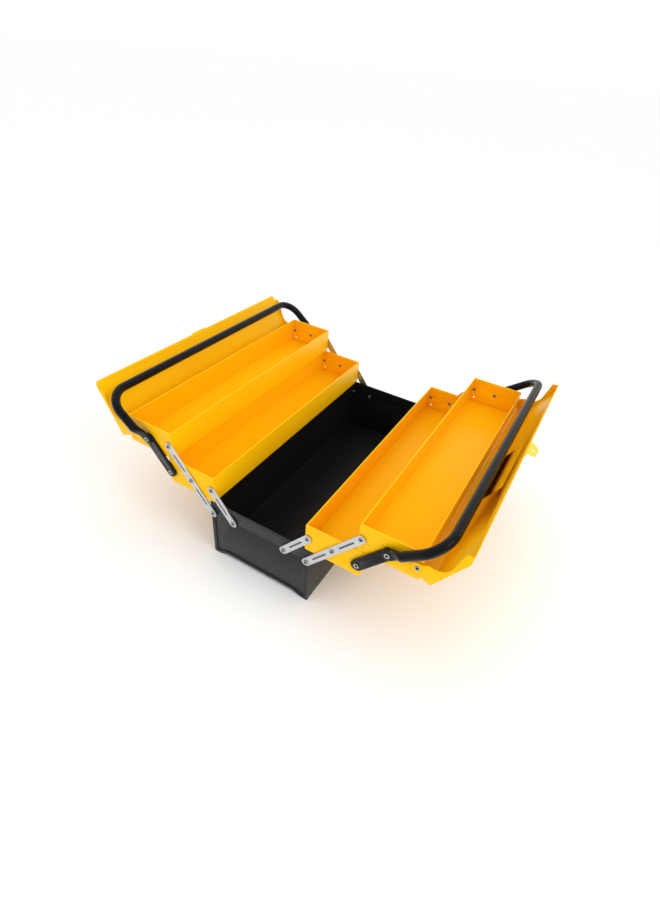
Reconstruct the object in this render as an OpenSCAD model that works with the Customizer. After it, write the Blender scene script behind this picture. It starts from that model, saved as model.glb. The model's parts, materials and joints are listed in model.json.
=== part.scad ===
// Cantilever toolbox: a steel base, four trays that swing out on links,
// two lids and two tube handles. It is drawn open, as it stands in use.
// X runs along the box, +Y is the left side, Z is up, the floor is z = 0.

/* [Body] */
// length over the end faces of the base and of every tray
body_length = 494; // [440:2:540]
// width of the base across its side walls
body_width = 195; // [194:1:204]
// height of the base, rim to floor
base_height = 121; // [110:1:132]
// thickness of the steel sheet
sheet = 1; // [0.8:0.1:1.2]
// height of the arch between the two side rails under the base
arch_height = 7; // [4:1:9]

/* [Trays] */
// height of each tray
tray_height = 51; // [48:1:54]
// height of the folded hem along each tray rim
hem_height = 5; // [3:0.5:7]
// outside radius of the long bends of a tray
tray_bend = 3; // [2:0.5:5]

/* [Linkage] */
// distance between neighbouring rivets along a tray end
pivot_pitch = 42.2; // [40:0.2:42.4]
// air between a tray and the rim that it rests on
rest_gap = 0.5; // [0.4:0.1:0.8]
// width of the bright links
link_width = 14; // [12:0.5:14]
// thickness of the bright links
link_thickness = 2; // [1.5:0.1:2]
// width of the black channel arms
arm_width = 19; // [17:0.5:20]
// diameter of a rivet shank
rivet_d = 5; // [4:0.5:5]

/* [Handles] */
// outside diameter of the handle tube
tube_d = 14.5; // [12:0.5:15]
// from the top rivet to the middle of the grip tube
handle_reach = 93.5; // [91:0.5:96]
// centre-line radius of the two bends
handle_bend = 36; // [32:1:38]

/* [Lids] */
// thickness step of the stamped field in each lid
stamp_depth = 0.8; // [0.4:0.1:0.9]
// depth of the skirt outside the tray wall
skirt_depth = 17; // [14:0.5:17]
// width of the padlock tab at its root
tab_width = 32; // [28:1:34]
// diameter of the padlock hole
padlock_hole = 6.5; // [5:0.5:7]

/* [Hidden] */
$fn = 64;
half_l = body_length / 2;
half_w = body_width / 2;
mid_gap = 8;
pivot_margin = half_w - 2 * pivot_pitch - mid_gap;
tray_width = 2 * (pivot_pitch + pivot_margin);

// the links of one side are parallel and swing as far in as out
rise = tray_height + rest_gap;
swing = atan(pivot_pitch / rise);
link_pitch = norm([pivot_pitch, rise]);

// rivet places across the box: base 1-2, lower tray 1-3, upper tray 2-4
pivot_y = half_w - pivot_margin;
base_z = base_height - tray_height / 2;
lower_z = base_z + rise;
upper_z = lower_z + rise;
lower_y = pivot_y - pivot_margin;
upper_y = pivot_y + 2 * pivot_pitch - pivot_margin;
hinge_y = pivot_y + 4 * pivot_pitch;

// layers along X, outward from the end faces
link_x = half_l + 0.6;
arm_x = half_l + 1.1;
web_x = half_l + 3.5;
web_t = 1.6;
lug_x = web_x + web_t;
lug_t = 3;
plate_x = half_l + 3;
tube_x = lug_x + tube_d / 2 + 0.2;
collar_d = 9;
tail_d = 7;
tail_t = 1.2;
head_d = 8.6;
head_top_d = 5.6;
head_h = 1.4;
head_gap = 0.25;
pin_play = 0.1;
open_play = 0.8;

// handle: the two grip tubes meet over the middle when the box is shut
grip_gap = 0.35;
shut_reach = pivot_y - pivot_pitch - tube_d / 2 - grip_gap;
grip_lean = 2 * swing - asin(shut_reach / handle_reach);
lug_length = 24;
tube_wall = 1.2;

// lids, drawn shut: u runs from the hinge to the middle, w is up; each lid is
// [travel, main slope, main width, strip slope, strip width, low plate depth]
lid_corner = [-11, 26.9];
left_lid = [112.5, 5, 71.5, 9, 26.5, 3.5];
right_lid = [111.5, 9, 78, -16, 25.4, 5];
ear_r = 9;
plate_bow = 22;
plate_tip = 9;
plate_stop = 11.5;
corner_r = 9;
lip_out = 2.5;
tab_t = 1.5;
tab_height = 15;
tab_foot = 8;

// base end plates sit one sheet inside the turned flanges
flange = 6.5;
end_x = half_l - sheet;
rail = 13;
ramp = 16;

steel_black = "#3b3b3d";
tray_yellow = "#ffa70a";
zinc = "#d9dadb";
tube_black = "#1d1d1f";
rivet_grey = "#8f8f90";
tab_yellow = "#f4cf3a";

base_trough();
base_end(-1);  // base_end_near
base_end(1);  // base_end_far
base_rivets();
tray_trough(1, lower_y, lower_z);  // left_lower_trough
tray_end(1, lower_y, lower_z, [0, 1, 2], -1);  // left_lower_end_near
tray_end(1, lower_y, lower_z, [0, 1, 2], 1);  // left_lower_end_far
lower_rivets(1);  // left_lower_rivets
tray_trough(1, upper_y, upper_z);  // left_upper_trough
tray_end(1, upper_y, upper_z, [0, 1], -1);  // left_upper_end_near
tray_end(1, upper_y, upper_z, [0, 1], 1);  // left_upper_end_far
upper_rivets(1);  // left_upper_rivets
tray_trough(-1, lower_y, lower_z);  // right_lower_trough
tray_end(-1, lower_y, lower_z, [0, 1, 2], -1);  // right_lower_end_near
tray_end(-1, lower_y, lower_z, [0, 1, 2], 1);  // right_lower_end_far
lower_rivets(-1);  // right_lower_rivets
tray_trough(-1, upper_y, upper_z);  // right_upper_trough
tray_end(-1, upper_y, upper_z, [0, 1], -1);  // right_upper_end_near
tray_end(-1, upper_y, upper_z, [0, 1], 1);  // right_upper_end_far
upper_rivets(-1);  // right_upper_rivets
short_link(1, -1);  // left_short_link_near
short_link(1, 1);  // left_short_link_far
long_link(1, -1);  // left_long_link_near
long_link(1, 1);  // left_long_link_far
short_link(-1, -1);  // right_short_link_near
short_link(-1, 1);  // right_short_link_far
long_link(-1, -1);  // right_long_link_near
long_link(-1, 1);  // right_long_link_far
arm(1, -1);  // left_arm_near
arm(1, 1);  // left_arm_far
handle(1);  // left_handle
arm(-1, -1);  // right_arm_near
arm(-1, 1);  // right_arm_far
handle(-1);  // right_handle
lid_pins(1);  // left_lid_pins
lid_panel(1, left_lid);  // left_lid_panel
lid_end(1, -1, left_lid);  // left_lid_end_near
lid_end(1, 1, left_lid);  // left_lid_end_far
lid_pins(-1);  // right_lid_pins
lid_panel(-1, right_lid);  // right_lid_panel
lid_end(-1, -1, right_lid);  // right_lid_end_near
lid_end(-1, 1, right_lid);  // right_lid_end_far
padlock_tab();

// ---- placing helpers ----

// side 1 is +Y, side -1 its mirror image; the same for the two ends along X
module on_side(side) mirror([0, side < 0 ? 1 : 0, 0]) children();
module on_end(end) mirror([end < 0 ? 1 : 0, 0, 0]) children();

// a 2D outline in (y, z), given a thickness along +X from x
module across(x, t) translate([x, 0, 0]) rotate([90, 0, 90]) linear_extrude(t) children();

// a round pin along +X
module pin(x, y, z, d, t) translate([x, y, z]) rotate([0, 90, 0]) cylinder(d = d, h = t);

// a flat bar with round ends, length between centres, along +y in 2D
module bar2d(length, width) {
    translate([-width / 2, 0]) square([width, length]);
    circle(d = width);
    translate([0, length]) circle(d = width);
}

// ---- rivets ----

// the domed head that keeps a piece on its rivet
module head(x, y, z) translate([x, y, z]) rotate([0, 90, 0]) cylinder(h = head_h, d1 = head_d, d2 = head_top_d);

// a rivet in a plate whose inside is at x_in, with a collar from the outer
// face to x_collar, and a head outside the piece that it carries
module rivet(y, z, x_in, x_face, x_collar, x_head) {
    pin(x_in - tail_t, y, z, tail_d, tail_t);
    pin(x_in - 0.1, y, z, rivet_d, x_head - x_in + 0.2);
    pin(x_face, y, z, collar_d, x_collar - x_face);
    head(x_head, y, z);
}

module link_rivet(y, z, x_face) {
    rivet(y, z, x_face - sheet, x_face, link_x - 0.1, link_x + link_thickness + head_gap);
}

module base_rivets() {
    color(rivet_grey)
    for (end = [-1, 1], side = [-1, 1])
        on_end(end) on_side(side) {
            rivet(pivot_y, base_z, end_x - sheet, half_l, link_x - 0.1, link_x + link_thickness + head_gap);
            link_rivet(pivot_y - pivot_pitch, base_z, end_x);
        }
}

module lower_rivets(side) {
    color(rivet_grey)
    for (end = [-1, 1])
        on_end(end) on_side(side) {
            link_rivet(pivot_y, lower_z, half_l);
            link_rivet(pivot_y + pivot_pitch, lower_z, half_l);
            rivet(pivot_y + 2 * pivot_pitch, lower_z, half_l - sheet, half_l, web_x - 0.1, lug_x + head_gap);
        }
}

module upper_rivets(side) {
    color(rivet_grey)
    for (end = [-1, 1])
        on_end(end) on_side(side) {
            link_rivet(pivot_y + 2 * pivot_pitch, upper_z, half_l);
            rivet(pivot_y + 3 * pivot_pitch, upper_z, half_l - sheet, half_l, web_x - 0.1, lug_x + lug_t + head_gap);
        }
}

// ---- base ----

// outline of the base across its width, set in from the outer faces
module base_outline(inset) {
    a = half_w - inset;
    b = half_w - rail + inset * 0.2;
    c = half_w - rail - ramp - inset * 0.2;
    polygon([
        [-a, base_height + 1], [-a, inset], [-b, inset], [-c, arch_height + inset],
        [c, arch_height + inset], [b, inset], [a, inset], [a, base_height + 1]
    ]);
}

module base_trough() {
    color(steel_black) {
        across(-half_l, body_length)
            intersection() {
                difference() {
                    base_outline(0);
                    base_outline(sheet);
                }
                translate([-half_w, 0]) square([body_width, base_height]);
            }
        // the hems stop at the end walls
        across(sheet - end_x, 2 * (end_x - sheet))
            for (side = [-1, 1])
                translate([side * (half_w - 1.5 * sheet), base_height - hem_height / 2])
                    square([sheet, hem_height], center = true);
        for (end = [-1, 1])
            on_end(end)
                difference() {
                    across(end_x, sheet)
                        intersection() {
                            difference() {
                                base_outline(sheet / 2);
                                base_outline(flange);
                            }
                            translate([-half_w, 0]) square([body_width, base_height]);
                        }
                    for (side = [-1, 1])
                        pin(end_x - 1, side * pivot_y, base_z, rivet_d, 4);
                }
    }
}

module base_end(end) {
    color(steel_black)
    on_end(end)
        difference() {
            union() {
                across(end_x - sheet, sheet)
                    intersection() {
                        base_outline(sheet);
                        translate([-half_w, 0]) square([body_width, base_height]);
                    }
                across(end_x, sheet)
                    translate([-half_w + flange, base_height - flange])
                        square([body_width - 2 * flange, flange]);
            }
            for (y = [pivot_y, pivot_y - pivot_pitch], side = [-1, 1])
                pin(end_x - 3, side * y, base_z, rivet_d, 6);
        }
}

// ---- trays ----

// filled U-outline with rounded lower corners, its corner at the origin
module u_outline(w, h, r) {
    translate([0, r]) square([w, h - r]);
    translate([r, 0]) square([w - 2 * r, r]);
    translate([r, r]) circle(r);
    translate([w - r, r]) circle(r);
}

// y0 is the inner wall, z0 the height of the rivet line
module tray_trough(side, y0, z0) {
    color(tray_yellow)
    on_side(side)
        translate([0, y0, z0 - tray_height / 2]) {
            across(-half_l, body_length)
                difference() {
                    u_outline(tray_width, tray_height, tray_bend);
                    translate([sheet, sheet])
                        u_outline(tray_width - 2 * sheet, tray_height, tray_bend - sheet);
                }
            // the hems stop at the end walls
            across(sheet - half_l, body_length - 2 * sheet)
                for (y = [sheet, tray_width - 2 * sheet])
                    translate([y, tray_height - hem_height]) square([sheet, hem_height]);
        }
}

// an end plate between the walls, its rim folded inward
module tray_end(side, y0, z0, holes, end) {
    color(tray_yellow)
    on_side(side) on_end(end)
        difference() {
            union() {
                translate([0, y0, z0 - tray_height / 2])
                    across(half_l - sheet, sheet)
                        intersection() {
                            translate([sheet, sheet])
                                u_outline(tray_width - 2 * sheet, tray_height, tray_bend - sheet);
                            square([tray_width, tray_height]);
                        }
                translate([0, y0, z0 + tray_height / 2 - hem_height])
                    across(half_l - 2 * sheet, sheet)
                        translate([2 * sheet, 0]) square([tray_width - 4 * sheet, hem_height]);
            }
            for (i = holes)
                pin(half_l - 3, y0 + pivot_margin + i * pivot_pitch, z0, rivet_d, 6);
            if (len(holes) == 2)
                pin(half_l - 3, y0 + pivot_margin + 2 * pivot_pitch, z0, rivet_d + pin_play, 6);
            // small vent hole in the lower corner toward +Y
            pin(half_l - 3, y0 + (side > 0 ? tray_width - 8 : 8), z0 - tray_height / 2 + 9, 3, 6);
        }
}

// ---- links and arms ----

// a blind groove pressed into the outer face between two rivets
module groove(from) {
    translate([0, from + 0.29 * link_pitch])
        bar2d(0.46 * link_pitch, 3);
}

// bar leaning outward from its lowest rivet at (y, z)
module leaning(y, z) translate([0, y, z]) rotate([-swing, 0, 0]) children();

module link(y, z, spans, bores) {
    leaning(y, z)
        difference() {
            across(link_x, link_thickness) bar2d(spans * link_pitch, link_width);
            for (i = [0:spans])
                pin(link_x - 1, 0, i * link_pitch, bores[i], 4);
            across(link_x + link_thickness - 0.7, 2)
                for (i = [0:spans - 1])
                    groove(i * link_pitch);
        }
}

module short_link(side, end) {
    fit_d = rivet_d + pin_play;
    color(zinc)
    on_side(side) on_end(end) link(pivot_y - pivot_pitch, base_z, 1, [fit_d, rivet_d + open_play]);
}

module long_link(side, end) {
    fit_d = rivet_d + pin_play;
    color(zinc)
    on_side(side) on_end(end) link(pivot_y, base_z, 2, [fit_d, fit_d, fit_d]);
}

// channel arm, its edges turned toward the tray
module arm(side, end) {
    color(tube_black)
    on_side(side) on_end(end)
        leaning(pivot_y + 2 * pivot_pitch, lower_z)
            difference() {
                across(arm_x, web_x + web_t - arm_x) bar2d(link_pitch, arm_width);
                across(arm_x - 1, web_x - arm_x + 1) bar2d(link_pitch, arm_width - 2 * web_t);
                pin(arm_x - 1, 0, 0, rivet_d + pin_play, 10);
                pin(arm_x - 1, 0, link_pitch, rivet_d + open_play, 10);
            }
}

// ---- handles ----

// centre line of half a handle, as one tube of diameter d, along +z from l0
module half_handle(d, l0) {
    straight = handle_reach - handle_bend;
    translate([tube_x, 0, l0]) cylinder(d = d, h = straight - l0);
    translate([tube_x - handle_bend, 0, straight])
        rotate([90, 0, 0])
            rotate_extrude(angle = 90) translate([handle_bend, 0]) circle(d = d);
    translate([-0.01, 0, handle_reach]) rotate([0, 90, 0]) cylinder(d = d, h = tube_x - handle_bend + 0.01);
}

// the tube ends are pressed flat into lugs on the arms
module handle(side) {
    color(tube_black)
    on_side(side)
        translate([0, pivot_y + 3 * pivot_pitch, upper_z])
            rotate([-grip_lean, 0, 0])
                for (end = [-1, 1])
                    on_end(end)
                        difference() {
                            union() {
                                half_handle(tube_d, lug_length);
                                translate([tube_x, 0, lug_length]) sphere(d = tube_d);
                                across(lug_x, lug_t) bar2d(lug_length - 2, arm_width);
                            }
                            half_handle(tube_d - 2 * tube_wall, lug_length + 4);
                            pin(lug_x - 1, 0, 0, rivet_d + open_play, 6);
                        }
}

// ---- lids ----

function ray(a) = [cos(a), sin(a)];
function lid_crease(lid) = lid_corner + lid[2] * ray(lid[1]);
function lid_edge(lid) = lid_crease(lid) + lid[4] * ray(lid[3]);

// puts a shape drawn in the shut lid's (u, w) on the hinge of the open lid
module lid_place(side, lid) {
    on_side(side)
        translate([0, hinge_y, upper_z])
            rotate([-lid[0], 0, 0])
                mirror([0, 1, 0])
                    children();
}

// a strip of sheet with its lower face along a line from p at angle a
module sheet2d(p, a, length) {
    translate(p) rotate(a) {
        square([length, sheet]);
        translate([0, sheet / 2]) circle(d = sheet);
        translate([length, sheet / 2]) circle(d = sheet);
    }
}

// one corner of the free edge, cut to a quarter circle
module edge_corner(lid) {
    translate([plate_x, lid_edge(lid)[0], lid_edge(lid)[1]])
        rotate([lid[3], 0, 0])
            translate([0, sheet, -5])
                difference() {
                    translate([-corner_r, -corner_r, 0]) cube([corner_r + 3, corner_r + 3, 10]);
                    translate([-corner_r, -corner_r, -1]) cylinder(r = corner_r, h = 12);
                }
}

module lid_panel(side, lid) {
    stamp_l = 0.27 * body_length;
    stamp_w = 0.62 * lid[2];
    color(tray_yellow)
    lid_place(side, lid)
        difference() {
            union() {
                across(-plate_x, 2 * plate_x) {
                    sheet2d(lid_corner, lid[1], lid[2]);
                    sheet2d(lid_crease(lid), lid[3], lid[4]);
                    sheet2d(lid_corner + [sheet / 2, sheet / 2], -90, skirt_depth);
                }
                // hem folded under the free edge
                translate([0, lid_edge(lid)[0], lid_edge(lid)[1]])
                    rotate([lid[3], 0, 0])
                        translate([-half_l + 14, -hem_height, -0.8 * sheet])
                            cube([body_length - 28, hem_height, sheet]);
                stamped(lid, stamp_l, stamp_w, sheet);
                if (side > 0) lock_lip(lid);
            }
            stamped(lid, stamp_l - 2 * sheet, stamp_w - 2 * sheet, 0);
            for (end = [-1, 1])
                on_end(end) edge_corner(lid);
        }
}

// raised field in the middle of the main panel
module stamped(lid, l, w, lift) {
    translate([0, lid_corner[0], lid_corner[1]])
        rotate([lid[1], 0, 0])
            translate([-l / 2, 0.48 * lid[2] - w / 2, lift - 0.05])
                cube([l, w, stamp_depth + 0.05]);
}

// lip of the left lid that the padlock tab stands against
module lock_lip(lid) {
    translate([0, lid_edge(lid)[0], lid_edge(lid)[1]])
        rotate([lid[3], 0, 0])
            translate([-tab_width / 2 - 2, -9, sheet - 0.2])
                cube([tab_width + 4, 9 + lip_out, 1.4 * sheet]);
}

// low end wall that widens to an ear round the hinge pin
module lid_end(side, end, lid) {
    far = lid_crease(lid) + (lid[4] - plate_stop) * ray(lid[3]);
    far_low = far + plate_tip * ray(lid[3] - 100);
    mid_low = lid_corner + 0.68 * lid[2] * ray(lid[1]) - [0, lid[5]];
    low_line = atan2(far_low[1] - mid_low[1], far_low[0] - mid_low[0]);
    top = [0, sheet];
    bow_centre = mid_low + plate_bow * ray(low_line - 90);
    color(tray_yellow)
    lid_place(side, lid)
        on_end(end)
            difference() {
                union() {
                    across(plate_x, sheet)
                        polygon([
                            lid_corner + top, lid_crease(lid) + top, far + top, far_low, mid_low,
                            0.7 * ear_r * ray(-20), 0.7 * ear_r * ray(-150), [lid_corner[0], 6]
                        ]);
                    pin(plate_x, 0, 0, 2 * ear_r, sheet);
                }
                // the bow runs straight on into the low edge
                pin(plate_x - 1, bow_centre[0], bow_centre[1], 2 * plate_bow, 4);
                pin(plate_x - 1, 0, 0, rivet_d + pin_play, 4);
            }
}

// hinge pins, free to turn in the tray end and in the lid
module lid_pins(side) {
    inner_x = half_l - sheet - head_gap;
    head_x = plate_x + sheet + head_gap;
    color(rivet_grey)
    for (end = [-1, 1])
        on_end(end) on_side(side) {
            pin(inner_x - tail_t, hinge_y, upper_z, tail_d, tail_t);
            pin(inner_x - 0.1, hinge_y, upper_z, rivet_d, head_x - inner_x + 0.2);
            pin(half_l + head_gap, hinge_y, upper_z, collar_d, plate_x - half_l - 2 * head_gap);
            head(head_x, hinge_y, upper_z);
        }
}

// tab with a padlock hole, upright on the free edge when the right lid is shut
module padlock_tab() {
    slope = right_lid[3];
    half_tab = tab_width / 2;
    root = lid_edge(right_lid) + sheet * ray(slope + 90);
    foot = root - tab_foot * ray(slope);
    foot_top = foot + tab_t * ray(slope + 90);
    inside = foot_top + (root[0] - tab_t - foot_top[0]) / cos(slope) * ray(slope);
    color(tab_yellow)
    lid_place(-1, right_lid)
        difference() {
            intersection() {
                across(-half_tab, tab_width)
                    polygon([
                        foot, root, root + [0, tab_height],
                        root + [-tab_t, tab_height], inside, foot_top
                    ]);
                translate([0, root[0], root[1]])
                    rotate([90, 0, 0])
                        linear_extrude(4 * tab_foot, center = true)
                            polygon([
                                [-half_tab - 1, -1], [half_tab + 1, -1], [half_tab + 1, 4],
                                [half_tab - 6, tab_height + 1], [6 - half_tab, tab_height + 1], [-half_tab - 1, 4]
                            ]);
            }
            translate([0, root[0], root[1] + tab_height - 6])
                rotate([90, 0, 0])
                    cylinder(d = padlock_hole, h = 4 * tab_t, center = true);
        }
}
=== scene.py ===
"""An open cantilever toolbox: charcoal base, four orange trays on zinc links,
two lids and two black tube handles. Metres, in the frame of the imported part."""

import json
from math import atan2, copysign, cos, pi, radians, sin, sqrt

import bmesh
import bpy
from mathutils import Matrix, Vector

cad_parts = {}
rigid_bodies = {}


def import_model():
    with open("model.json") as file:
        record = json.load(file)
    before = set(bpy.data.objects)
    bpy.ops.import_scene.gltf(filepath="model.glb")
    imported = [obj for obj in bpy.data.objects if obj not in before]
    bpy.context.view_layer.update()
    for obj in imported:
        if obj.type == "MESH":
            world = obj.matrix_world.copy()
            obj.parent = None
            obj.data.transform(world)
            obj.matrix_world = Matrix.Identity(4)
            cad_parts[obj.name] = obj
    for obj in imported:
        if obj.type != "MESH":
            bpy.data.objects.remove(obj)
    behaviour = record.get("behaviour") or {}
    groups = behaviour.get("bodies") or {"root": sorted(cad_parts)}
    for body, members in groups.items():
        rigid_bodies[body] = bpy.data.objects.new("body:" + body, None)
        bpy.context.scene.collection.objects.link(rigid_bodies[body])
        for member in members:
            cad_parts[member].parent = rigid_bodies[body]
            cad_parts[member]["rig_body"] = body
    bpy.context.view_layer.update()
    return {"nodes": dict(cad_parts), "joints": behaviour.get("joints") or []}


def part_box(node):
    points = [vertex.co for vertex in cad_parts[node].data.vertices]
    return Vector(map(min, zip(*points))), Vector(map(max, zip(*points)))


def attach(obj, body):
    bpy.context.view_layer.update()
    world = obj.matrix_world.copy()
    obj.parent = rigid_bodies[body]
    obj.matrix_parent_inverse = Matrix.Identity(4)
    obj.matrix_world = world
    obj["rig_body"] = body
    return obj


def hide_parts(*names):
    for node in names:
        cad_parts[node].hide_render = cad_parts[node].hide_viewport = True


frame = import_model()


# ---- Base ----
# The base is a deep trough of one millimetre sheet, its bottom pressed up
# between two rails that it stands on, with an end wall spot-welded inside the
# flanges at each end. It is dipped in a charcoal enamel; its inside faces are painted near black as painted shade.

MM = 0.001
CHARCOAL = "#2a2a2c"
# lighter edge colour: thin paint and a painted highlight
CHARCOAL_THIN_LIT_EDGE = "#77777b"
FOLD_RADIUS = 0.4
WELD_DISTANCE = 0.002 * MM


def linear(hex_colour):
    """sRGB hex to the linear RGBA that shaders take."""
    parts = [int(hex_colour[i : i + 2], 16) / 255 for i in (1, 3, 5)]
    return tuple(c / 12.92 if c <= 0.04045 else ((c + 0.055) / 1.055) ** 2.4 for c in parts) + (1.0,)


def add(tree, kind, links=None, **settings):
    """Adds a node. Settings are its properties or its input values; links feed its inputs, by name or place."""
    node = tree.nodes.new(kind)
    for key, value in settings.items():
        if key in node.bl_rna.properties:
            setattr(node, key, value)
    for key, value in settings.items():
        if key not in node.bl_rna.properties:
            node.inputs[key.replace("_", " ")].default_value = value
    for key, source in (links or {}).items():
        if isinstance(source, bpy.types.NodeSocket):
            tree.links.new(source, node.inputs[key])
        else:
            node.inputs[key].default_value = source
    return node


def new_material(name):
    """An empty node material; returns it, its tree and its output node."""
    material = bpy.data.materials.new(name)
    material.use_nodes = True
    tree = material.node_tree
    tree.nodes.clear()
    return material, tree, tree.nodes.new("ShaderNodeOutputMaterial")


def enamel(name, body, deep, thin_lit_edge, roughness, peel, shine):
    """Baked spray enamel on sheet steel: slow drift of colour where the coat is
    thicker, orange peel of peel mm, faint handling scuffs, and a lighter colour
    along edges, for thin paint and a painted highlight, whose colour also tints the shine."""
    material, tree, output = new_material(name)
    place = add(tree, "ShaderNodeTexCoord")
    spot = {"Vector": place.outputs["Object"]}
    drift = add(tree, "ShaderNodeTexNoise", spot, Scale=1 / (70 * MM), Detail=3.0, Roughness=0.5)
    tones = {0: drift.outputs["Fac"], 6: linear(body), 7: linear(deep)}
    tone = add(tree, "ShaderNodeMix", tones, data_type="RGBA")
    # edge mask: where a 0.7 mm round-over would turn the normal, the colour is lighter, for thin paint and a painted
    # highlight
    rounded = add(tree, "ShaderNodeBevel", samples=4, Radius=0.7 * MM)
    flat = add(tree, "ShaderNodeNewGeometry")
    normals = {0: rounded.outputs["Normal"], 1: flat.outputs["Normal"]}
    agree = add(tree, "ShaderNodeVectorMath", normals, operation="DOT_PRODUCT")
    bend = {"Value": agree.outputs["Value"]}
    edge = add(tree, "ShaderNodeMapRange", bend, From_Min=0.995, From_Max=0.8, To_Min=0.0, To_Max=0.75)
    thin_lit_edge_mix = {0: edge.outputs["Result"], 6: tone.outputs[2], 7: linear(thin_lit_edge)}
    colour = add(tree, "ShaderNodeMix", thin_lit_edge_mix, data_type="RGBA")
    # scuffs: long faint streaks along the box, 3 mm apart
    stretch = add(tree, "ShaderNodeMapping", spot, Scale=(0.06, 1.0, 1.0))
    along = {"Vector": stretch.outputs["Vector"]}
    streak = add(tree, "ShaderNodeTexNoise", along, Scale=1 / (3 * MM), Detail=4.0, Roughness=0.65)
    gloss = add(
        tree,
        "ShaderNodeMapRange",
        {"Value": streak.outputs["Fac"]},
        From_Min=0.35,
        From_Max=0.75,
        To_Min=roughness - 0.05,
        To_Max=roughness + 0.12,
    )
    grain = add(tree, "ShaderNodeTexNoise", spot, Scale=1 / (peel * MM), Detail=2.0, Roughness=0.5)
    bump = add(tree, "ShaderNodeBump", {"Height": grain.outputs["Fac"]}, Strength=0.35, Distance=0.05 * MM)
    shader = add(
        tree,
        "ShaderNodeBsdfPrincipled",
        {"Base Color": colour.outputs[2], "Roughness": gloss.outputs["Result"], "Normal": bump.outputs["Normal"]},
        IOR=1.5,
        Specular_IOR_Level=shine,
        Specular_Tint=linear(thin_lit_edge),
    )
    tree.links.new(shader.outputs["BSDF"], output.inputs["Surface"])
    return material


def as_piece(name, mesh, body, slot, material, *nodes):
    """Makes a finished mesh a piece that rides on a body and stands for CAD nodes."""
    piece = bpy.data.objects.new(name, mesh)
    bpy.context.scene.collection.objects.link(piece)
    if material is not None:
        mesh.materials.clear()
        mesh.materials.append(material)
    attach(piece, body)
    if nodes:
        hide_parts(*nodes)
    return piece


def folded_sheet(name, node, body, slot, material, radius=FOLD_RADIUS):
    """A pressed-steel piece: the CAD node's sheet with every sheared or folded edge rounded."""
    source = bmesh.new()
    source.from_mesh(frame["nodes"][node].data)
    bmesh.ops.remove_doubles(source, verts=source.verts, dist=WELD_DISTANCE)
    bmesh.ops.dissolve_limit(source, angle_limit=radians(0.5), verts=source.verts, edges=source.edges)
    mesh = bpy.data.meshes.new(name + "_plain")
    source.to_mesh(mesh)
    source.free()
    holder = bpy.data.objects.new(name + "_plain", mesh)
    bpy.context.scene.collection.objects.link(holder)
    rounding = holder.modifiers.new("rounded_edges", "BEVEL")
    rounding.width = radius * MM
    rounding.segments = 2
    rounding.limit_method = "ANGLE"
    rounding.angle_limit = radians(38)
    rounding.use_clamp_overlap = True
    finished = bpy.data.meshes.new_from_object(holder.evaluated_get(bpy.context.evaluated_depsgraph_get()))
    bpy.data.objects.remove(holder)
    finished.name = name
    finished.shade_smooth()
    finished.set_sharp_from_angle(angle=radians(32))
    return as_piece(name, finished, body, slot, material, node)


# charcoal enamel: satin, dark grey, a little lighter along edges, for thin paint and a painted highlight
charcoal_enamel = enamel("charcoal_enamel", CHARCOAL, "#222224", CHARCOAL_THIN_LIT_EDGE, 0.4, 1.1, 0.5)
# the same enamel inside, painted near black as painted shade, with a faint sheen
inside_shade_enamel = enamel("charcoal_enamel_painted_shade", "#1a1a1b", "#141415", "#4a4a4c", 0.42, 1.1, 0.5)


# a face that looks back at the middle is inside, and so is the bottom's top; both get the painted shade
INWARD = -20 * MM
FLOOR_HEIGHT = 20 * MM


def paint_shade_inside(piece):
    """Gives the faces that look into the box the near-black enamel, as painted shade."""
    piece.data.materials.append(inside_shade_enamel)
    for face in piece.data.polygons:
        inward = face.center.x * face.normal.x + face.center.y * face.normal.y < INWARD
        if inward or (face.normal.z > 0.3 and face.center.z < FLOOR_HEIGHT):
            face.material_index = 1


paint_shade_inside(folded_sheet("base_shell", "base_trough", "base", "base_paint", charcoal_enamel))
for end in ("near", "far"):
    paint_shade_inside(folded_sheet(f"base_wall_{end}", f"base_end_{end}", "base", "base_paint", charcoal_enamel))


# ---- Trays ----
# Each tray is one long bent trough with two end walls, its rim folded over
# inward all round, sprayed in an orange-yellow enamel that is baked to a
# semi-gloss.

ORANGE = "#ffc40c"

# orange-yellow enamel: bright, even, with a fine orange peel
orange_enamel = enamel("orange_enamel", ORANGE, "#fdbe06", "#ffd54e", 0.34, 0.9, 0.22)

for side in ("left", "right"):
    for level in ("lower", "upper"):
        tray = f"{side}_{level}_tray"
        folded_sheet(f"{tray}_trough", f"{side}_{level}_trough", tray, "tray_paint", orange_enamel)
        for end in ("near", "far"):
            folded_sheet(f"{tray}_wall_{end}", f"{side}_{level}_end_{end}", tray, "tray_paint", orange_enamel, 0.45)


# ---- Links ----
# Flat bars blanked from two millimetre steel with a groove pressed between the
# rivets, zinc plated bright. They carry the trays.


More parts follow.
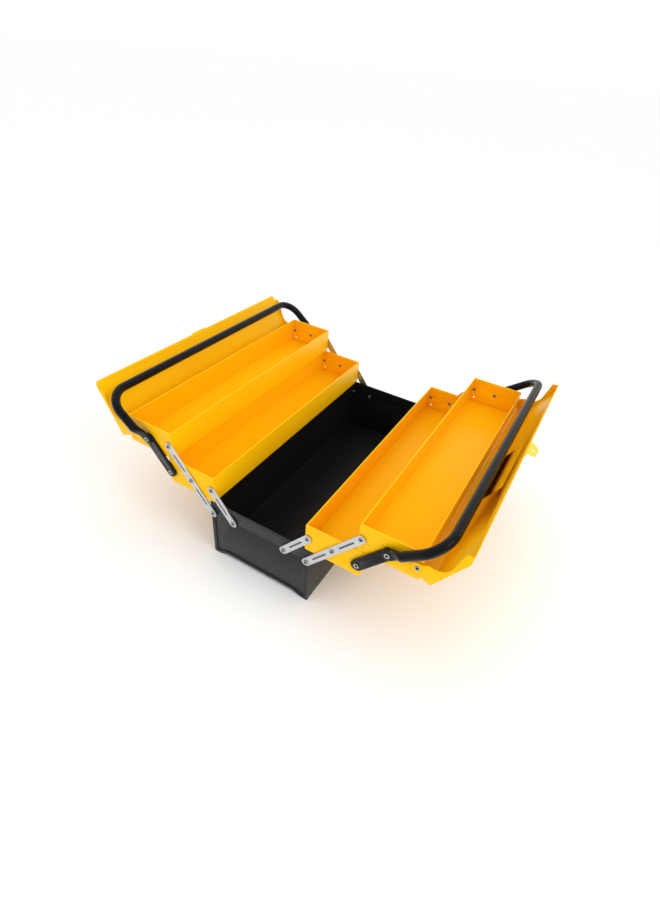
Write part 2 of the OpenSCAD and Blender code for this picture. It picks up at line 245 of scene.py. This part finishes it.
def plated(name, bright, dull, roughness, grain_mm, along):
    """Electroplated zinc on rolled steel: cool, bright, with fine lines along the
    rolling direction and cloudy patches where the plate is duller."""
    material, tree, output = new_material(name)
    place = add(tree, "ShaderNodeTexCoord")
    spot = {"Vector": place.outputs["Object"]}
    cloud = add(tree, "ShaderNodeTexNoise", spot, Scale=1 / (9 * MM), Detail=4.0, Roughness=0.6)
    tones = {0: cloud.outputs["Fac"], 6: linear(bright), 7: linear(dull)}
    colour = add(tree, "ShaderNodeMix", tones, data_type="RGBA")
    turn = add(tree, "ShaderNodeMapping", spot, Rotation=(along, 0, 0), Scale=(1.0, 1.0, 0.05))
    rolled = {"Vector": turn.outputs["Vector"]}
    lines = add(tree, "ShaderNodeTexNoise", rolled, Scale=1 / (grain_mm * MM), Detail=3.0, Roughness=0.6)
    gloss = add(
        tree,
        "ShaderNodeMapRange",
        {"Value": lines.outputs["Fac"]},
        From_Min=0.3,
        From_Max=0.7,
        To_Min=roughness - 0.07,
        To_Max=roughness + 0.1,
    )
    bump = add(tree, "ShaderNodeBump", {"Height": lines.outputs["Fac"]}, Strength=0.2, Distance=0.03 * MM)
    shader = add(
        tree,
        "ShaderNodeBsdfPrincipled",
        {"Base Color": colour.outputs[2], "Roughness": gloss.outputs["Result"], "Normal": bump.outputs["Normal"]},
        Metallic=1.0,
    )
    tree.links.new(shader.outputs["BSDF"], output.inputs["Surface"])
    return material


# groove shade: a darker zinc in the pressed grooves, painted shade that makes them read as dark slots
GROOVE_TOP, GROOVE_FLOOR = 0.25 * MM, 0.75 * MM
groove_painted_shade = plated("groove_painted_shade", "#7d7d7e", "#5c5c5d", 0.5, 0.6, 0)

for side, lean in (("left", 1), ("right", -1)):
    # bright zinc plate: the rolling lines run along the leaning links
    bright_zinc = plated(f"bright_zinc_{side}", "#d4d6d8", "#bcbfc2", 0.34, 0.6, lean * radians(39.3))
    for length in ("short", "long"):
        for end in ("near", "far"):
            name = f"{side}_{length}_link_{end}"
            bar = folded_sheet(f"{name}_bar", name, f"{side}_{length}_links", "link_zinc", bright_zinc, 0.3)
            # painted shade: the faces of the pressed groove take the darker zinc
            bar.data.materials.append(groove_painted_shade)
            outside = max(abs(corner.x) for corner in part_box(name))
            for face in bar.data.polygons:
                if GROOVE_TOP < outside - abs(face.center.x) < GROOVE_FLOOR:
                    face.material_index = 1


# ---- Handles ----
# Each handle is a fifteen millimetre steel tube bent to a wide hoop. Its ends
# are pressed flat, riveted to the trays and to two channel arms, and the whole
# is painted satin black.

# satin black enamel: deep black with a broad soft highlight, and grey edges for thin paint and a painted highlight
black_enamel = enamel("black_enamel", "#0c0c0d", "#08080a", "#6a6a6e", 0.22, 0.8, 0.7)

# all in millimetres, along the hoop from the lug's rivet
TUBE_R = 7.25
HOOP_BEND = 36
LUG_AIR = 0.2
LUG_HALF = 9.5
LUG_THICK = 1.5
PRESSED_TO = 9
ROUND_FROM = 27
RING = 40


def hoop_stations(tube_x, lug_x, reach, bend):
    """Half the hoop from the lug's tip to the middle, as rows of centre x,
    height, tangent angle, half width and half thickness."""
    rows = []
    for i in range(8):
        t = pi / 2 * i / 8
        rows.append((lug_x, -LUG_HALF * cos(t), 0, max(0.15, LUG_HALF * sin(t)), LUG_THICK))
    for i in range(25):
        h = (reach - bend) * i / 24
        t = min(1, max(0, (h - PRESSED_TO) / (ROUND_FROM - PRESSED_TO)))
        t = t * t * (3 - 2 * t)
        wide = LUG_HALF + (TUBE_R - LUG_HALF) * t
        rows.append((lug_x + (tube_x - lug_x) * t, h, 0, wide, LUG_THICK + (TUBE_R - LUG_THICK) * t))
    for i in range(1, 25):
        t = pi / 2 * i / 24
        rows.append((tube_x - bend + bend * cos(t), reach - bend + bend * sin(t), t, TUBE_R, TUBE_R))
    return rows


def handle_mesh(name, side):
    """Lofts rings along the hoop and closes it at both lugs."""
    low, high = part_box(f"{side}_handle")
    pivots = {joint["name"]: joint["pos_m"] for joint in frame["joints"]}
    sign = 1 if pivots[f"{side}_handle_turn"][1] > 0 else -1
    # the lugs turn on the upper tray's outer rivet, one pitch out from its link
    upper = pivots[f"{side}_upper_tray_turn"]
    pitch = upper[1] - pivots[f"{side}_lower_tray_turn"][1]
    centre = Vector((0, upper[1] + pitch, upper[2]))
    tube_x = high.x / MM - TUBE_R
    out = (abs(high.y if sign > 0 else low.y) - abs(centre.y)) / MM - TUBE_R
    rise = (high.z - centre.z) / MM - TUBE_R
    lean, reach = atan2(out, rise), sqrt(out**2 + rise**2)
    half = hoop_stations(tube_x, tube_x - TUBE_R - LUG_AIR + LUG_THICK, reach, HOOP_BEND)
    hoop = half + [(-x, h, pi - a, w, t) for x, h, a, w, t in reversed(half)]
    bm = bmesh.new()
    rings = []
    for x, h, a, wide, thick in hoop:
        # a pressed tube is a flat with round edges, and grows round again
        power = 0.55 + 0.45 * (thick - LUG_THICK) / (TUBE_R - LUG_THICK)
        ring = []
        for k in range(RING):
            c, s = cos(2 * pi * k / RING), sin(2 * pi * k / RING)
            along, across = copysign(thick * abs(c) ** power, c), copysign(wide * abs(s) ** power, s)
            ring.append(bm.verts.new((x + along * cos(a), across, h + along * sin(a))))
        rings.append(ring)
    for a, b in zip(rings, rings[1:]):
        for k in range(RING):
            bm.faces.new((a[k], a[(k + 1) % RING], b[(k + 1) % RING], b[k]))
    bm.faces.new(rings[0][::-1])
    bm.faces.new(rings[-1])
    bmesh.ops.transform(bm, matrix=Matrix.Diagonal((MM, MM, MM, 1)), verts=bm.verts)
    bmesh.ops.transform(bm, matrix=Matrix.Translation(centre) @ Matrix.Rotation(-sign * lean, 4, "X"), verts=bm.verts)
    bmesh.ops.recalc_face_normals(bm, faces=bm.faces)
    mesh = bpy.data.meshes.new(name)
    bm.to_mesh(mesh)
    bm.free()
    mesh.shade_smooth()
    mesh.set_sharp_from_angle(angle=radians(50))
    return mesh


for side in ("left", "right"):
    handle_set = f"{side}_handle_set"
    tube = handle_mesh(f"{side}_grip_tube", side)
    as_piece(f"{side}_grip_tube", tube, handle_set, "handle_paint", black_enamel, f"{side}_handle")
    for end in ("near", "far"):
        folded_sheet(f"{side}_channel_arm_{end}", f"{side}_arm_{end}", handle_set, "arm_paint", black_enamel)


# ---- Lids ----
# Each lid is a shallow panel with a pressed field, a skirt that hangs outside
# the tray, a crease along its free strip and two end walls with hinge ears,
# in the trays' orange enamel. The padlock tab is welded to the right lid.

for side in ("left", "right"):
    folded_sheet(f"{side}_lid_sheet", f"{side}_lid_panel", f"{side}_lid", "lid_paint", orange_enamel)
    for end in ("near", "far"):
        folded_sheet(f"{side}_lid_wall_{end}", f"{side}_lid_end_{end}", f"{side}_lid", "lid_paint", orange_enamel, 0.3)

# pale yellow enamel on the tab: the same spray over bare bright steel
pale_enamel = enamel("pale_yellow_enamel", "#f6d24a", "#f2c93c", "#fbe38a", 0.3, 0.9, 0.3)
folded_sheet("padlock_tab_plate", "padlock_tab", "right_lid", "tab_paint", pale_enamel, 0.35)


# ---- Rivets ----
# Every joint of the linkage is a tubular steel rivet: a rolled rim outside, an
# open bore, a spacing collar and a rolled tail inside, left in zinc plate.

# dull zinc plate: softer and greyer than the links; the bore floors are near-black zinc as painted shade
dull_zinc = plated("dull_zinc", "#c4c5c6", "#a2a3a5", 0.36, 0.5, 0)
bore_painted_shade = plated("bore_painted_shade", "#2c2c2d", "#1d1d1e", 0.6, 0.5, 0)

rivet_tree = bpy.data.node_groups.new("tubular_rivets", "GeometryNodeTree")
ports = rivet_tree.interface
ports.new_socket("Seats", in_out="INPUT", socket_type="NodeSocketGeometry")
sizes = {"Rim Diameter": 8.4, "Rim Thickness": 1.9, "Shank Diameter": 4.9, "Collar Diameter": 8.9}


def port(name, kind):
    """Adds a named input to the rivet tree; returns the socket's identifier."""
    return ports.new_socket(name, in_out="INPUT", socket_type=kind).identifier


size_ids = {name: port(name, "NodeSocketFloat") for name in sizes}
metals = {"Zinc": dull_zinc, "Bore": bore_painted_shade}
metal_ids = {name: port(name, "NodeSocketMaterial") for name in metals}
ports.new_socket("Rivets", in_out="OUTPUT", socket_type="NodeSocketGeometry")
given = rivet_tree.nodes.new("NodeGroupInput").outputs
finished = rivet_tree.nodes.new("NodeGroupOutput")


def math_of(tree, operation, a, b=0.0):
    """The output of one sum."""
    return add(tree, "ShaderNodeMath", {0: a, 1: b}, operation=operation).outputs[0]


# outward along X at each seat, so a near rivet and a far one face opposite ways
seat = add(rivet_tree, "GeometryNodeInputPosition").outputs[0]
seat_x = add(rivet_tree, "ShaderNodeSeparateXYZ", {0: seat}).outputs[0]
way = math_of(rivet_tree, "SIGN", seat_x)
outward = add(rivet_tree, "ShaderNodeCombineXYZ", {0: way}).outputs[0]
inward = add(rivet_tree, "ShaderNodeVectorMath", {0: outward, "Scale": -1.0}, operation="SCALE").outputs[0]
face_out = add(rivet_tree, "FunctionNodeAlignRotationToVector", {"Vector": outward}, axis="Z").outputs[0]
face_in = add(rivet_tree, "FunctionNodeAlignRotationToVector", {"Vector": inward}, axis="Z").outputs[0]
named = {}
for row in ("shank", "collar_from", "collar_long"):
    stored = add(rivet_tree, "GeometryNodeInputNamedAttribute", {"Name": row}, data_type="FLOAT")
    named[row] = stored.outputs[0]

# the rolled rim is a ring bent over a disc; the disc is the floor of the bore, near black as painted shade
half_rim = math_of(rivet_tree, "MULTIPLY", given["Rim Thickness"], 0.5)
roll = math_of(rivet_tree, "SUBTRACT", math_of(rivet_tree, "MULTIPLY", given["Rim Diameter"], 0.5), half_rim)
ring = add(rivet_tree, "GeometryNodeCurvePrimitiveCircle", {"Radius": roll}, Resolution=28).outputs[0]
wire = add(rivet_tree, "GeometryNodeCurvePrimitiveCircle", {"Radius": half_rim}, Resolution=10).outputs[0]
rim = add(rivet_tree, "GeometryNodeCurveToMesh", {"Curve": ring, "Profile Curve": wire}).outputs[0]
rim = add(rivet_tree, "GeometryNodeTransform", {"Geometry": rim}, Scale=(1, 1, 0.62)).outputs[0]
rim = add(rivet_tree, "GeometryNodeTransform", {"Geometry": rim}, Translation=(0, 0, 0.55 * MM)).outputs[0]
rim = add(rivet_tree, "GeometryNodeSetMaterial", {"Geometry": rim, "Material": given["Zinc"]}).outputs[0]
floor_disc = add(rivet_tree, "GeometryNodeMeshCylinder", {"Radius": roll, "Depth": 0.3 * MM}, Vertices=28).outputs[0]
floor_disc = add(rivet_tree, "GeometryNodeTransform", {"Geometry": floor_disc}, Translation=(0, 0, 0.15 * MM)).outputs[0]
# painted shade: the bore's floor disc takes the near-black zinc
dark_disc = {"Geometry": floor_disc, "Material": given["Bore"]}
floor_disc = add(rivet_tree, "GeometryNodeSetMaterial", dark_disc).outputs[0]
head = add(rivet_tree, "GeometryNodeJoinGeometry", {0: rim})
rivet_tree.links.new(floor_disc, head.inputs[0])


def rods(tree, diameter, length, centre_from):
    """A rod on every seat along the rivet's axis, its middle centre_from inside the seat."""
    girth = {"Radius": math_of(tree, "MULTIPLY", diameter, 0.5), "Depth": 1.0}
    rod = add(tree, "GeometryNodeMeshCylinder", girth, Vertices=28).outputs[0]
    rod = add(tree, "GeometryNodeSetMaterial", {"Geometry": rod, "Material": given["Zinc"]}).outputs[0]
    away = add(tree, "ShaderNodeVectorMath", {0: inward, "Scale": centre_from}, operation="SCALE").outputs[0]
    moved = add(tree, "GeometryNodeSetPosition", {"Geometry": given["Seats"], "Offset": away}).outputs[0]
    long = add(tree, "ShaderNodeCombineXYZ", {0: 1.0, 1: 1.0, 2: length}).outputs[0]
    placing = {"Points": moved, "Instance": rod, "Rotation": face_out, "Scale": long}
    return add(tree, "GeometryNodeInstanceOnPoints", placing).outputs[0]


def middle(tree, start, length):
    """How far in the middle of a rod lies that starts at start."""
    return math_of(tree, "ADD", start, math_of(tree, "MULTIPLY", length, 0.5))


at_heads = {"Points": given["Seats"], "Instance": head.outputs[0], "Rotation": face_out}
heads = add(rivet_tree, "GeometryNodeInstanceOnPoints", at_heads).outputs[0]
to_tail = add(rivet_tree, "ShaderNodeVectorMath", {0: inward, "Scale": named["shank"]}, operation="SCALE").outputs[0]
tail_seats = add(rivet_tree, "GeometryNodeSetPosition", {"Geometry": given["Seats"], "Offset": to_tail}).outputs[0]
at_tails = {"Points": tail_seats, "Instance": head.outputs[0], "Rotation": face_in}
tails = add(rivet_tree, "GeometryNodeInstanceOnPoints", at_tails, Scale=(0.8, 0.8, 0.8)).outputs[0]
shank_middle = middle(rivet_tree, 0.0, named["shank"])
shanks = rods(rivet_tree, given["Shank Diameter"], named["shank"], shank_middle)
collar_middle = middle(rivet_tree, named["collar_from"], named["collar_long"])
collars = rods(rivet_tree, given["Collar Diameter"], named["collar_long"], collar_middle)
together = add(rivet_tree, "GeometryNodeJoinGeometry", {0: heads})
for part in (tails, shanks, collars):
    rivet_tree.links.new(part, together.inputs[0])
whole = add(rivet_tree, "GeometryNodeRealizeInstances", {0: together.outputs[0]}).outputs[0]
smooth = add(rivet_tree, "GeometryNodeSetShadeSmooth", {0: whole}).outputs[0]
rivet_tree.links.new(smooth, finished.inputs[0])


HEAD_HEIGHT, TAIL_HEIGHT = 1.4 * MM, 1.2 * MM
COLLAR_RADIUS_OVER = 4.4 * MM


def rivet_seats(node):
    """Where each rivet of a node sits: its head seat, its length and its
    collar, read from the node's own solids."""
    solids = bmesh.new()
    solids.from_mesh(frame["nodes"][node].data)
    bmesh.ops.remove_doubles(solids, verts=solids.verts, dist=WELD_DISTANCE)
    seats, left = [], set(solids.verts)
    while left:
        island, edge_of = set(), [left.pop()]
        while edge_of:
            vert = edge_of.pop()
            island.add(vert)
            near = {e.other_vert(vert) for e in vert.link_edges} - island
            edge_of.extend(near)
            left -= near
        sign = 1 if sum(v.co.x for v in island) > 0 else -1
        y = (min(v.co.y for v in island) + max(v.co.y for v in island)) / 2
        z = (min(v.co.z for v in island) + max(v.co.z for v in island)) / 2
        out = [(abs(v.co.x), ((v.co.y - y) ** 2 + (v.co.z - z) ** 2) ** 0.5) for v in island]
        head_x = max(x for x, r in out) - HEAD_HEIGHT
        tail_x = min(x for x, r in out) + TAIL_HEIGHT
        collar = [x for x, r in out if r > COLLAR_RADIUS_OVER]
        place = (sign * head_x, y, z)
        seats.append((place, head_x - tail_x, head_x - max(collar), max(collar) - min(collar)))
    solids.free()
    return seats


for node in [n for n in frame["nodes"] if n.endswith(("rivets", "pins"))]:
    seats = rivet_seats(node)
    points = bpy.data.meshes.new(node + "_seats")
    points.from_pydata([place for place, *_ in seats], [], [])
    for column, name in enumerate(("shank", "collar_from", "collar_long"), 1):
        stored = points.attributes.new(name, "FLOAT", "POINT")
        stored.data.foreach_set("value", [row[column] for row in seats])
    holder = bpy.data.objects.new(node + "_seats", points)
    bpy.context.scene.collection.objects.link(holder)
    maker = holder.modifiers.new("tubular_rivets", "NODES")
    maker.node_group = rivet_tree
    for name, size in sizes.items():
        maker[size_ids[name]] = size * MM
    for name, metal in metals.items():
        maker[metal_ids[name]] = metal
    mesh = bpy.data.meshes.new_from_object(holder.evaluated_get(bpy.context.evaluated_depsgraph_get()))
    bpy.data.objects.remove(holder)
    mesh.name = node + "_set"
    mesh.set_sharp_from_angle(angle=radians(40))
    as_piece(node + "_set", mesh, frame["nodes"][node]["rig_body"], "rivet_steel", None, node)


# ---- Floor, light and camera ----
# A plain pale floor that runs far back, an even white room, two soft lights
# from above and from the right, and the angle the box is seen from.

floor_mesh = bpy.data.meshes.new("studio_floor")
floor_mesh.from_pydata([(-60, -60, 0), (60, -60, 0), (60, 60, 0), (-60, 60, 0)], [], [(0, 1, 2, 3)])
floor = bpy.data.objects.new("studio_floor", floor_mesh)
bpy.context.scene.collection.objects.link(floor)
floor_paint, tree, output = new_material("pale_floor")
shader = add(tree, "ShaderNodeBsdfPrincipled", Base_Color=linear("#fcfcfb"), Roughness=0.8)
tree.links.new(shader.outputs["BSDF"], output.inputs["Surface"])
floor_mesh.materials.append(floor_paint)

# an even white room
world = bpy.data.worlds.new("studio_room")
bpy.context.scene.world = world
world.use_nodes = True
room = world.node_tree
room.nodes.clear()
glow = add(room, "ShaderNodeBackground", Strength=1.02, Color=linear("#ffffff")).outputs[0]
room.links.new(glow, room.nodes.new("ShaderNodeOutputWorld").inputs["Surface"])


def soft_box(name, place, target, width, height, power):
    """A rectangular studio light facing a point."""
    lamp = bpy.data.lights.new(name, "AREA")
    lamp.shape = "RECTANGLE"
    lamp.size, lamp.size_y, lamp.energy = width, height, power
    holder = bpy.data.objects.new(name, lamp)
    bpy.context.scene.collection.objects.link(holder)
    holder.location = place
    holder.rotation_euler = (Vector(target) - Vector(place)).to_track_quat("-Z", "Y").to_euler()


soft_box("overhead", (0.2, 0.3, 2.6), (0, 0, 0.1), 1.6, 1.6, 5)
soft_box("key", (-0.5, -1.6, 1.5), (0, 0, 0.15), 0.8, 0.8, 9)

bpy.context.scene.view_settings.view_transform = "Standard"

# the camera stands near one corner and looks down along the box
VIEW_TURN, VIEW_DOWN, VIEW_ROLL = 0.4804, 0.656, 0.0906
CAMERA_PLACE = (-0.702851, -0.353337, 0.720074)
look = Vector((cos(VIEW_DOWN) * cos(VIEW_TURN), cos(VIEW_DOWN) * sin(VIEW_TURN), -sin(VIEW_DOWN)))
level = look.cross(Vector((0, 0, 1))).normalized()
above = level.cross(look)
right = level * cos(VIEW_ROLL) + above * sin(VIEW_ROLL)
up = above * cos(VIEW_ROLL) - level * sin(VIEW_ROLL)
camera_data = bpy.data.cameras.new("camera")
camera_data.lens = 20.58
camera = bpy.data.objects.new("camera", camera_data)
bpy.context.scene.collection.objects.link(camera)
facing = Matrix((right, up, -look)).transposed().to_4x4()
camera.matrix_world = Matrix.Translation(CAMERA_PLACE) @ facing
bpy.context.scene.camera = camera
